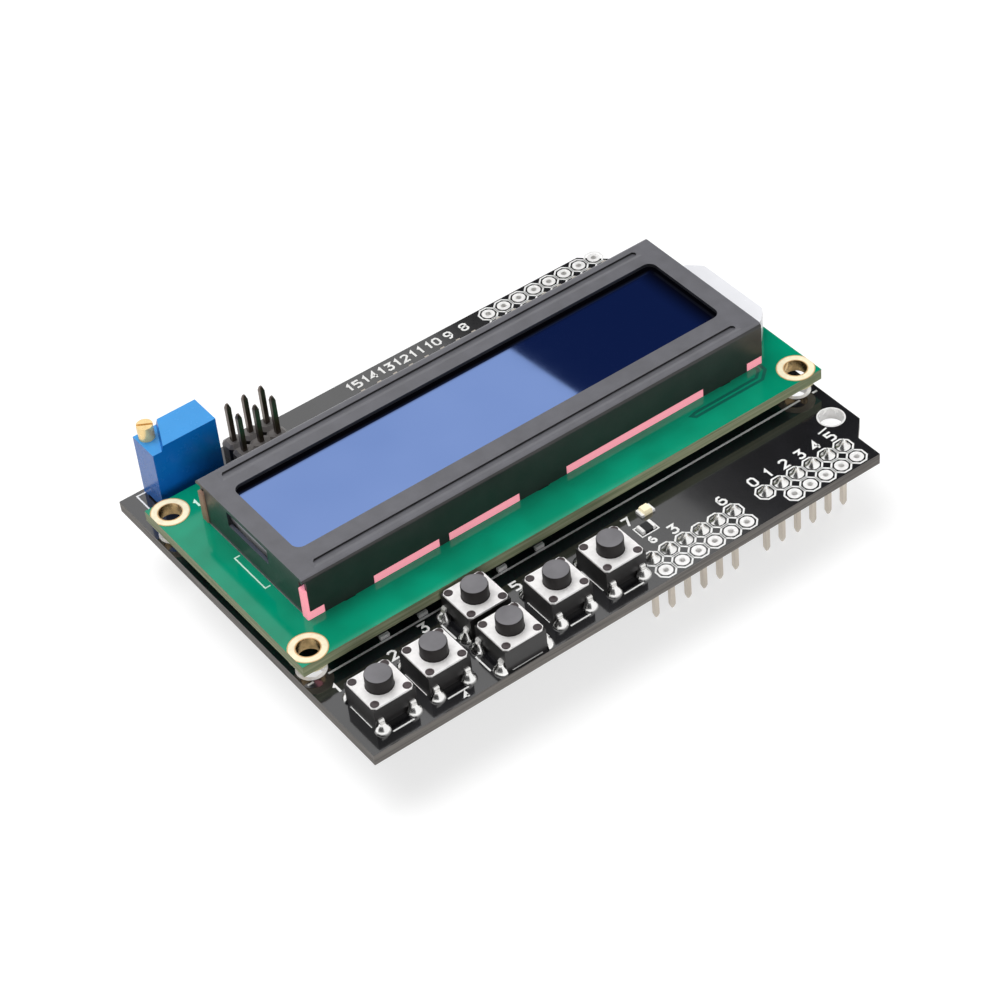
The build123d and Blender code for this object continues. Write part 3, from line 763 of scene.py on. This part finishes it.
slot_floor = screw_high.z - slot_depth
screw_stem = turned([(screw_radius, screw_low.z), (screw_radius, slot_floor)], 2 * half_side_steps)
screw = piece("slotted_screw", [
    moved(shape, screw_middle.x, screw_middle.y, 0, slot_turn)
    for shape in (screw_stem, screw_half(1), screw_half(-1))],
    "brass", "trimmer_screw", True)
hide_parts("trimmer_screw")


# Pegs that hold the switch covers

cover_top = high("select_key_cover").z
peg_offset = 2.3 * MM
peg_button = turned(in_metres([(0.55, 0), (0.55, 0.05), (0.48, 0.115), (0.34, 0.15)]), coarse_sides)
piece("key_peg_heads", [
    moved(peg_button, x + side * peg_offset, y + end * peg_offset, cover_top)
    for x, y, turn in key_places.values()
    for side in (-1, 1)
    for end in (-1, 1)], "peg_plastic", smooth=True)


# Bare ends of the chips and the lamp

def islands(node):
    # The box of each separate solid in a node
    mesh = frame["nodes"][node].data
    places = [tuple(round(c, 7) for c in vertex.co) for vertex in mesh.vertices]
    owner = {place: place for place in places}

    def root(place):
        while owner[place] != place:
            place = owner[place]
        return place

    for polygon in mesh.polygons:
        corners = [places[n] for n in polygon.vertices]
        for corner in corners[1:]:
            owner[root(corner)] = root(corners[0])
    groups = {}
    for place in owner:
        groups.setdefault(root(place), []).append(place)
    boxes = []
    for group in groups.values():
        axes = list(zip(*group))
        boxes.append(tuple((min(axis), max(axis)) for axis in axes))
    return sorted(boxes)


cap_length = 0.38 * MM
cap_skin = 0.025 * MM


def end_caps(spans):
    # Two tinned caps over the ends of a chip's longer side
    x_span, y_span, z_span = spans
    lengthwise_x = x_span[1] - x_span[0] > y_span[1] - y_span[0]
    along, across = (x_span, y_span) if lengthwise_x else (y_span, x_span)
    across = (across[0] - cap_skin, across[1] + cap_skin)
    shapes = []
    ends = (
        (along[0] - cap_skin, along[0] + cap_length),
        (along[1] - cap_length, along[1] + cap_skin))
    for start, end in ends:
        sides = ((start, end), across) if lengthwise_x else (across, (start, end))
        shapes.append(brick(*sides, (shield_top, z_span[1] + cap_skin)))
    return joined(shapes)


chip_boxes = islands("chip_resistors")
lamp_low, lamp_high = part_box("indicator_led")
lamp_base_top = 0.35 * MM
lamp_spans = (
    (lamp_low.x, lamp_high.x), (lamp_low.y, lamp_high.y), (shield_top, shield_top + lamp_base_top))
piece(
    "chip_end_caps", [end_caps(box) for box in chip_boxes] + [end_caps(lamp_spans)],
    "silver")


# Printed lines and plain numbers on the lower board

DIGITS = {
    "0": [(0.5, 0), (1.5, 0), (2, 0.6), (2, 2.4), (1.5, 3), (0.5, 3), (0, 2.4), (0, 0.6), (0.5, 0)],
    "1": [(0.4, 2.3), (1.1, 3), (1.1, 0)],
    "2": [(0, 2.5), (0.5, 3), (1.5, 3), (2, 2.5), (2, 1.9), (0, 0), (2, 0)],
    "3": [(0, 3), (2, 3), (1, 1.8), (1.6, 1.8), (2, 1.3), (2, 0.5), (1.5, 0), (0.5, 0), (0, 0.5)],
    "4": [(1.5, 0), (1.5, 3), (0, 1), (2.1, 1)],
    "5": [(2, 3), (0, 3), (0, 1.8), (1.4, 1.8), (2, 1.3), (2, 0.5), (1.5, 0), (0, 0)],
    "6": [(1.6, 3), (0.7, 3), (0, 2.2), (0, 0.5), (0.5, 0), (1.5, 0), (2, 0.5), (2, 1.2),
          (1.5, 1.7), (0, 1.7)],
    "7": [(0, 3), (2, 3), (0.7, 0)],
    "8": [(0.5, 1.6), (0, 2.1), (0, 2.6), (0.5, 3), (1.5, 3), (2, 2.6), (2, 2.1), (1.5, 1.6), (0.5, 1.6),
          (0, 1.1), (0, 0.5), (0.5, 0), (1.5, 0), (2, 0.5), (2, 1.1), (1.5, 1.6)],
    "9": [(0.4, 0), (1.3, 0), (2, 0.9), (2, 2.5), (1.5, 3), (0.5, 3), (0, 2.5), (0, 1.8),
          (0.5, 1.3), (2, 1.3)],
}
stroke = 0.29 * MM
figure_units_high = 3
figure_units_wide = 2
figure_units_apart = 2.75


def number(text, x, y, height, z):
    # Plain figures in thin strokes, centred on x with their feet at y
    unit = height / figure_units_high
    step = figure_units_apart * unit
    start = x - (step * (len(text) - 1) + figure_units_wide * unit) / 2
    shapes = []
    for place, figure in enumerate(text):
        line = [(start + place * step + px * unit, y + py * unit) for px, py in DIGITS[figure]]
        shapes.append(ribbon(line, stroke, z))
    return joined(shapes)


def octagon(x, y, half):
    # The eight sided outline round a pad; half is half its width across its flats
    reach = half / math.cos(math.pi / 8)
    return [
        (x + reach * math.cos((n + 0.5) * math.pi / 4), y + reach * math.sin((n + 0.5) * math.pi / 4))
        for n in range(8)
    ]


long_line_y = lcd_low.y + 0.30 * MM
long_line_gap = 1.05 * MM
long_line_width = 0.28 * MM
long_line_left = shield_low.x + 0.4 * MM
long_line_right = shield_high.x - 0.5 * MM
line_width = 0.22 * MM
fine_line_width = 0.18 * MM
pad_outline_half = 1.22 * MM
pad_outline_width = 0.23 * MM
prints = []
for x, y in power_places + analog_places + digital_low_places + spare_places:
    prints.append(ribbon(octagon(x, y, pad_outline_half), pad_outline_width, shield_top, closed=True))
hole_x = display_hole_places[-1][0]
for start, end in (
        (-hole_x + long_line_gap, hole_x - long_line_gap),
        (long_line_left, -hole_x - long_line_gap),
        (hole_x + long_line_gap, long_line_right)):
    prints.append(ribbon([(start, long_line_y), (end, long_line_y)], long_line_width, shield_top))

# Each switch's outline shows between its legs
side_line = 3.0 * MM
side_reach = 2.2 * MM
leg_line = 4.28 * MM
leg_reach = 1.5 * MM
for x, y, turn in key_places.values():
    marks = [
        ribbon([(side * side_line, -side_reach), (side * side_line, side_reach)], line_width, 0)
        for side in (-1, 1)
    ] + [
        ribbon([(-leg_reach, end * leg_line), (leg_reach, end * leg_line)], line_width, 0)
        for end in (-1, 1)
    ]
    prints.append(moved(joined(marks), x, y, shield_top, turn))

trimmer_low, trimmer_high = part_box("trimmer_housing")
outline_left = trimmer_low.x - 1.25 * MM
outline_rear = trimmer_high.y - 0.2 * MM
outline_front = trimmer_low.y - 0.4 * MM
prints.append(ribbon([
    (trimmer_low.x, outline_rear), (outline_left, outline_rear),
    (outline_left, outline_front), (trimmer_low.x, outline_front)], line_width, shield_top))
lamp_chip = max(chip_boxes, key=lambda spans: spans[0][1] - spans[0][0])
box_gap = 0.28 * MM
prints.append(ribbon([
    (lamp_chip[0][side] + box_gap * (2 * side - 1), lamp_chip[1][end] + box_gap * (2 * end - 1))
    for side, end in ((0, 0), (1, 0), (1, 1), (0, 1))], fine_line_width, shield_top, closed=True))
hole_mark = [
    (board_hole.x + x, board_hole.y + y) for x, y in in_metres([(-3.3, -1.35), (-1.75, -1.1)])]
prints.append(ribbon(hole_mark, line_width, shield_top))

# Plain numbers stand where the photographed board has words
figure_height = 1.4 * MM
rear_figure_height = 1.3 * MM
label_rise = 1.70 * MM
rear_label_drop = 0.65 * MM
label_y = power_places[0][1] + label_rise
for count, (x, y) in enumerate(analog_places):
    prints.append(number(str(count), x, label_y, figure_height, shield_top))
for count in (3, 6):
    prints.append(number(str(count), power_places[count - 1][0], label_y, figure_height, shield_top))
rear_label_y = rear_spare_places[0][1] - rear_label_drop
for count, (x, y) in enumerate(reversed(digital_high_places), len(digital_low_places)):
    prints.append(number(str(count), x, rear_label_y, rear_figure_height, shield_top))
# Where each number stands, and its height, in millimetres
word_places = (
    (-37.0, -17.4, 1.4), (-28.9, -17.3, 1.4), (-23.6, -16.0, 1.4), (-26.1, -27.85, 0.85),
    (-11.0, -17.6, 1.4), (6.4, -22.0, 1.0), (5.9, -17.8, 1.4))
for count, (x, y, height) in enumerate(word_places, 1):
    prints.append(number(str(count), x * MM, y * MM, height * MM, shield_top))
piece("board_print", prints, "print_white")


# A bracket, pin numbers and a covered trace on the display board

bracket = [(-35.1, 6.45), (-35.85, 6.45), (-35.85, -0.35), (-35.1, -0.35)]
pin_figure_height = 1.2 * MM
first_figure_x = lcd_places[0][0] - 2.3 * MM
first_figure_y = lcd_places[0][1] - 1.6 * MM
last_figure_x = lcd_places[-1][0] + 2.6 * MM
last_figure_y = lcd_places[0][1] - 0.6 * MM
piece("display_board_print", [
    ribbon(in_metres(bracket), fine_line_width, lcd_top),
    number("1", first_figure_x, first_figure_y, pin_figure_height, lcd_top),
    number("16", last_figure_x, last_figure_y, pin_figure_height, lcd_top)], "print_mint")
trace_width = 0.42 * MM
trace_outer = [(22.6, -10.1), (21.8, -10.3), (22.2, -10.8), (33.0, -10.85), (34.5, -9.6), (34.5, -8.3)]
trace_inner = [(22.6, -10.1), (32.6, -10.1), (33.8, -9.1), (33.8, -8.6)]
piece("display_board_trace", [
    ribbon(in_metres(line), trace_width, lcd_top) for line in (trace_outer, trace_inner)], "mask_groove")


# The cut foot of the bezel's end wall

foot_x_span = (-34.85 * MM, -34.76 * MM)
foot_inset = 1.3 * MM
foot_y_span = (bezel_low.y + foot_inset, bezel_high.y - foot_inset)
foot_height = 0.09 * MM
piece("end_wall_foot", [
    brick(foot_x_span, foot_y_span, (lcd_top, lcd_top + foot_height))], "bare_steel")


# Camera, from a fit of the board's pads and corners to the photograph

camera_turn = math.radians(-32.358)
camera_rise = math.radians(42.940)
camera_roll = math.radians(-6.210)
camera_target = Vector((-3.414, -3.475, 9.9)) * MM
camera_distance = 366.522 * MM
camera_lens = 106.28
sensor_width = 36.0
photo_size = 1000
photo_middle = photo_size / 2

to_camera = Vector((
    math.sin(camera_turn) * math.cos(camera_rise),
    -math.cos(camera_turn) * math.cos(camera_rise),
    math.sin(camera_rise)))
level_x = Vector((0, 0, 1)).cross(to_camera).normalized()
level_y = to_camera.cross(level_x)
camera_x = math.cos(camera_roll) * level_x + math.sin(camera_roll) * level_y
camera_y = math.cos(camera_roll) * level_y - math.sin(camera_roll) * level_x
camera_place = camera_target + to_camera * camera_distance

camera_data = bpy.data.cameras.new("camera")
camera_data.lens = camera_lens
camera_data.sensor_width = sensor_width
camera = bpy.data.objects.new("camera", camera_data)
turn_rows = Matrix((camera_x, camera_y, to_camera)).transposed()
camera.matrix_world = Matrix.Translation(camera_place) @ turn_rows.to_4x4()
bpy.context.scene.collection.objects.link(camera)
bpy.context.scene.camera = camera


def photo_ray(px, py):
    # Direction from the camera through a pixel of the photograph
    reach = camera_lens / sensor_width * photo_size
    across = camera_x * (px - photo_middle) / reach
    down = camera_y * (py - photo_middle) / reach
    return (-to_camera + across - down).normalized()


def mirrored_place(px, py, distance):
    # Where the display's glass shows something that stands this far off
    direction = photo_ray(px, py)
    glass_z = high("lcd_front_glass").z
    start = camera_place + direction * ((glass_z - camera_place.z) / direction.z)
    return start + Vector((direction.x, direction.y, -direction.z)) * distance


# Floor, light and background

WHITE = (1, 1, 1, 1)
sky_light = 0.30
floor_half = 3.0
floor_shade = 0.42
floor_roughness = 0.9
floor_glow = 0.66


def light_path_flag(nodes, links):
    # 1 for rays from the camera, from gloss and through glass
    path = nodes.new("ShaderNodeLightPath")
    total = path.outputs["Is Camera Ray"]
    for name in ("Is Glossy Ray", "Is Transmission Ray"):
        larger = nodes.new("ShaderNodeMath")
        larger.operation = "MAXIMUM"
        links.new(total, larger.inputs[0])
        links.new(path.outputs[name], larger.inputs[1])
        total = larger.outputs[0]
    return total


def scaled(nodes, links, value, factor, offset):
    # The value times a factor, plus an offset
    made = nodes.new("ShaderNodeMath")
    made.operation = "MULTIPLY_ADD"
    links.new(value, made.inputs[0])
    made.inputs[1].default_value = factor
    made.inputs[2].default_value = offset
    return made.outputs[0]


def matt_paint(name, shade, roughness, glow_colour, glow):
    # A grey without gloss that also glows
    paint = Paint(name, specular=0.0, Roughness=roughness)
    paint.colour((shade, shade, shade))
    paint.shader.inputs["Emission Color"].default_value = glow_colour
    paint.shader.inputs["Emission Strength"].default_value = glow
    return paint.material


world = bpy.data.worlds.new("studio")
bpy.context.scene.world = world
world.use_nodes = True
world_nodes, world_links = world.node_tree.nodes, world.node_tree.links
sky = world_nodes["Background"]
sky.inputs["Color"].default_value = WHITE
seen_by = light_path_flag(world_nodes, world_links)
sky_strength = scaled(world_nodes, world_links, seen_by, 1 - sky_light, sky_light)
world_links.new(sky_strength, sky.inputs["Strength"])

floor_mesh = bpy.data.meshes.new("floor")
floor_mesh.from_pydata(
    [(-floor_half, -floor_half, 0), (floor_half, -floor_half, 0),
     (floor_half, floor_half, 0), (-floor_half, floor_half, 0)],
    [], [(0, 1, 2, 3)])
floor = bpy.data.objects.new("floor", floor_mesh)
bpy.context.scene.collection.objects.link(floor)
floor_paint = matt_paint("floor", floor_shade, floor_roughness, WHITE, 0.0)
floor_nodes, floor_links = floor_paint.node_tree.nodes, floor_paint.node_tree.links
seen_by = light_path_flag(floor_nodes, floor_links)
floor_strength = scaled(floor_nodes, floor_links, seen_by, floor_glow, 0.0)
floor_links.new(floor_strength, floor_nodes["Principled BSDF"].inputs["Emission Strength"])
floor_mesh.materials.append(floor_paint)


def soft_light(name, place, size, power):
    # A lamp that gloss doesn't show, so that shiny faces mirror only the white room and the cards
    data = bpy.data.lights.new(name, "AREA")
    data.shape = "SQUARE"
    data.size = size
    data.energy = power
    lamp = bpy.data.objects.new(name, data)
    lamp.location = place
    lamp.rotation_euler = (-Vector(place)).to_track_quat("-Z", "Y").to_euler()
    lamp.visible_glossy = False
    bpy.context.scene.collection.objects.link(lamp)


soft_light("key_light", (-0.20, 0.30, 1.05), size=0.8, power=9.5)
soft_light("side_light", (0.75, 0.25, 0.6), size=0.5, power=1.5)
soft_light("front_light", (-0.45, -0.95, 0.30), size=0.6, power=5.0)


# Cards that only gloss shows: the dark of the room beside the display, and behind the camera

def gloss_card(name, corners, colour):
    mesh = bpy.data.meshes.new(name)
    mesh.from_pydata([tuple(corner) for corner in corners], [], [(0, 1, 2, 3)])
    card = bpy.data.objects.new(name, mesh)
    bpy.context.scene.collection.objects.link(card)
    card.visible_camera = False
    card.visible_diffuse = False
    card.visible_transmission = False
    card.visible_shadow = False
    mesh.materials.append(matt_paint(name, 0.0, 1.0, (*colour, 1), 1.0))


# Pixels of the photo where the display shows the dark card's corners; the first two lie on the line
# where its dark reflection begins
line_front = (880, 595)
line_rear = (330, 228)
corner_rear = (700, -250)
corner_front = (1250, 100)
card_distance = 0.8
card_pixels = (line_front, line_rear, corner_rear, corner_front)
card_corners = [mirrored_place(*pixel, card_distance) for pixel in card_pixels]
gloss_card("dark_card", card_corners, (0.016, 0.016, 0.018))
room_behind = 0.05
room_left = -0.75
room_right = 0.10
room_half = 0.22
room_middle = camera_place + to_camera * room_behind
room_outline = (
    (room_left, -room_half), (room_right, -room_half), (room_right, room_half), (room_left, room_half))
room_corners = [room_middle + level_x * side + level_y * end for side, end in room_outline]
gloss_card("dark_room", room_corners, (0.05, 0.05, 0.05))

bpy.context.scene.view_settings.view_transform = "Standard"
